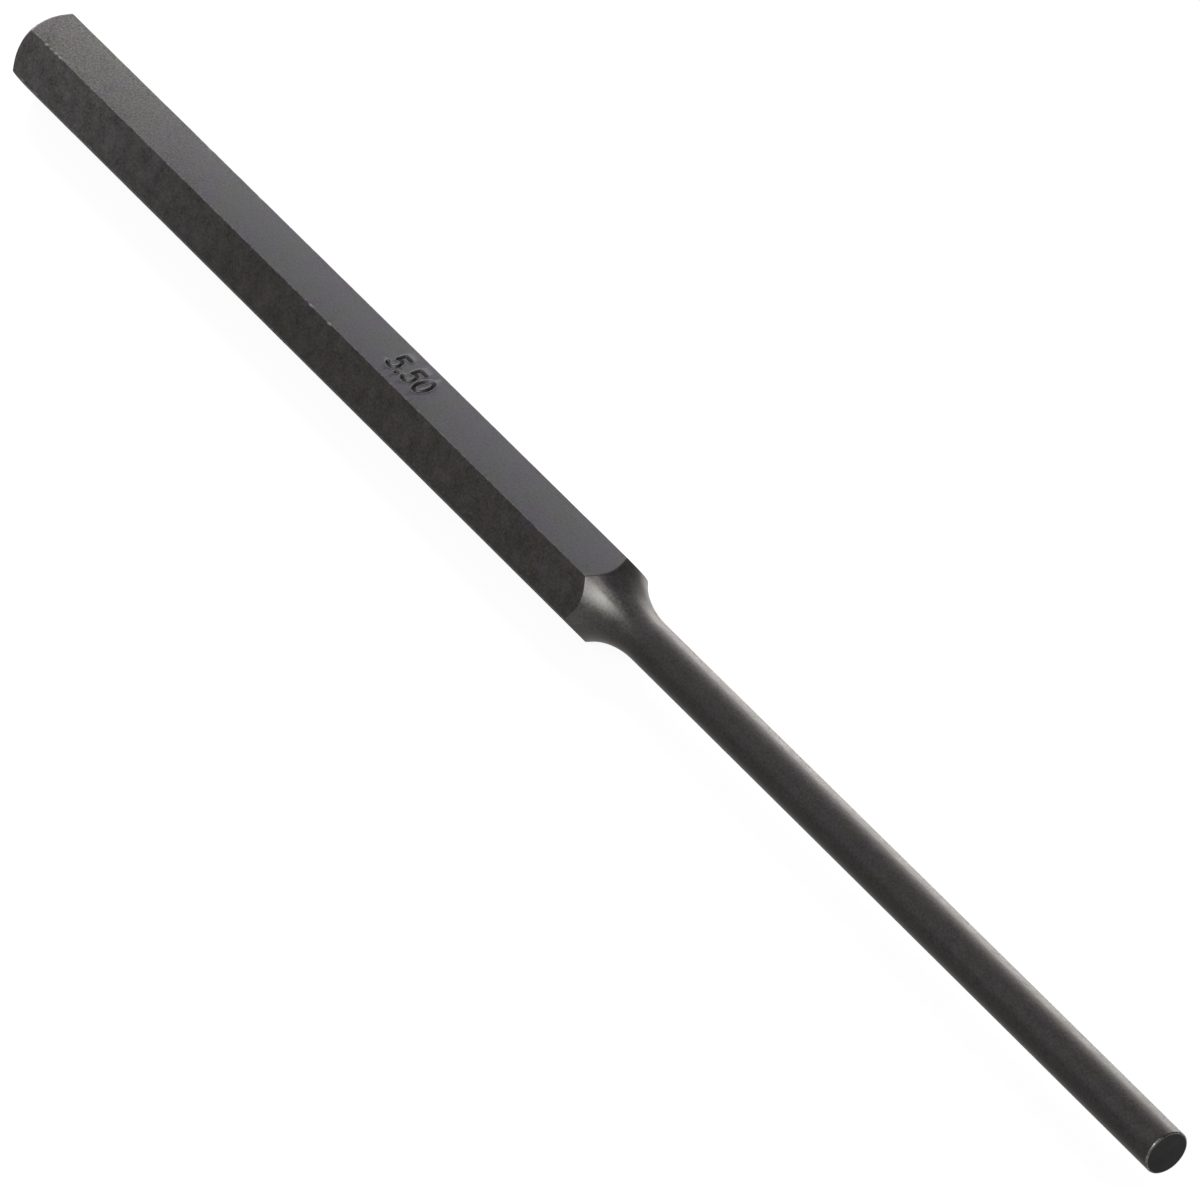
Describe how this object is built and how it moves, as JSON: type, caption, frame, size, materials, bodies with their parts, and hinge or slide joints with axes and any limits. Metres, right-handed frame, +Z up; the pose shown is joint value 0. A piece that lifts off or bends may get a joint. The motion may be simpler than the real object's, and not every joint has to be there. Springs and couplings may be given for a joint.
{
  "type": "pin punch",
  "caption": "Steel pin punch: hexagonal bar with a chamfered struck head, a hollow turned shoulder and a long straight pin with a flat tip, for driving pins out of their holes.",
  "frame": {"origin": "under the middle of the overall length, on the surface that one flat of the hexagon lies on", "axes": "+X along the punch from the struck head to the tip, +Z up out of the flat opposite the one it lies on"},
  "size_m": [0.2286, 0.0114, 0.01],
  "materials": {
    "blackened_steel": "satin black oxide on drawn hexagon and turned pin, rubbed bright at the edges"
  },
  "bodies": {
    "root": {"shank": "blackened_steel", "shoulder": "blackened_steel", "pin": "blackened_steel"}
  },
  "joints": []
}
